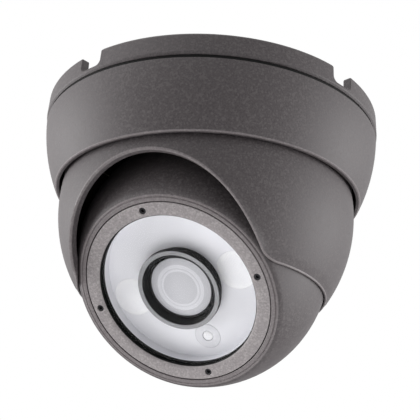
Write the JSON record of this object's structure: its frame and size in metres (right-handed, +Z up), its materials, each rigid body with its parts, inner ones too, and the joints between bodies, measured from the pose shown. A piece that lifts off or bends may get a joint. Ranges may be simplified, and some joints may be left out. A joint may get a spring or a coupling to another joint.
{
  "type": "dome cctv camera",
  "caption": "Ceiling dome camera: round base with cable notches, trim cover, turning hood with an arched front, and an eyeball with a flat round window over a lens and infrared lamps.",
  "frame": {"origin": "centre of the ceiling screw circle, on the ceiling face of the base", "axes": "+Z up through the ceiling; the eyeball looks towards -Y and 46.2 degrees below the horizon; +X is the tilt axis, to the right of someone who faces the window"},
  "size_m": [0.1106, 0.1106, 0.0905],
  "materials": {
    "dark_powder_coat": "graphite powder coat on die-cast aluminium, fine sparkle",
    "grey_powder_coat": "warm grey powder coat, fine sparkle",
    "black_rubber": "moulded, dull",
    "stainless_steel": "turned and pressed",
    "black_steel": "black oxide",
    "acetal": "moulded, satin",
    "window_glass": "polished flat",
    "white_plastic": "moulded, satin white",
    "chromed_ring": "satin chrome",
    "lens_glass": "coated optical glass",
    "black_aluminium": "black anodised",
    "black_plastic": "moulded, matt",
    "filter_glass": "coated filter glass",
    "silicon": "sensor package with a glass lid",
    "green_circuit_board": "solder mask",
    "white_circuit_board": "white solder mask",
    "brass": "turned",
    "lamp_phosphor": "potted lamp package",
    "clear_plastic": "moulded lens with small facets",
    "chip_resin": "moulded resin",
    "can_aluminium": "drawn can",
    "white_nylon": "moulded",
    "paper_sachet": "fibrous paper"
  },
  "bodies": {
    "base": {"base_plate": "dark_powder_coat", "cable_grommet": "black_rubber", "seam_gasket": "black_rubber", "trim_cover": "dark_powder_coat", "cover_lock_screw": "stainless_steel", "upper_glide_ring": "acetal", "lower_glide_ring": "acetal"},
    "hood": {"hood_shell": "dark_powder_coat", "tilt_axles": "stainless_steel"},
    "yoke": {"tilt_yoke": "stainless_steel", "swivel_friction_disc": "acetal", "swivel_spring_washer": "stainless_steel"},
    "eyeball": {"ball_housing": "dark_powder_coat", "bezel_ring": "grey_powder_coat", "bezel_screws": "black_steel", "window_glass": "window_glass", "window_seal": "black_rubber", "reflector_tray": "white_plastic", "lens_ring": "chromed_ring", "front_lens": "lens_glass", "lens_barrel": "black_aluminium", "rear_lens": "lens_glass", "lens_lock_ring": "black_aluminium", "lens_holder": "black_plastic", "infrared_filter": "filter_glass", "image_sensor": "silicon", "sensor_board": "green_circuit_board", "front_posts": "brass", "lamp_board": "white_circuit_board", "lamp_chips": "lamp_phosphor", "lamp_caps": "clear_plastic", "light_sensor": "clear_plastic", "light_sensor_sleeve": "clear_plastic", "rear_posts": "brass", "main_board": "green_circuit_board", "processor_chips": "chip_resin", "board_capacitors": "can_aluminium", "board_sockets": "white_nylon", "board_screws": "stainless_steel", "desiccant_pack": "paper_sachet", "swivel_stud": "stainless_steel", "stud_seal": "black_rubber", "swivel_nut": "stainless_steel", "cable_gland": "black_rubber"}
  },
  "joints": [
    {"name": "pan", "type": "hinge", "parent": "base", "child": "hood", "pos_m": [0, 0, -0.0117], "axis": [0, 0, 1], "range_deg": [-177, 177]},
    {"name": "tilt", "type": "hinge", "parent": "hood", "child": "yoke", "pos_m": [0, 0, -0.0509], "axis": [1, 0, 0], "range_deg": [-22, 43.8]},
    {"name": "roll", "type": "hinge", "parent": "yoke", "child": "eyeball", "pos_m": [0, 0, -0.0509], "axis": [0, -0.6921, -0.7218], "range_deg": [-177, 177]}
  ]
}
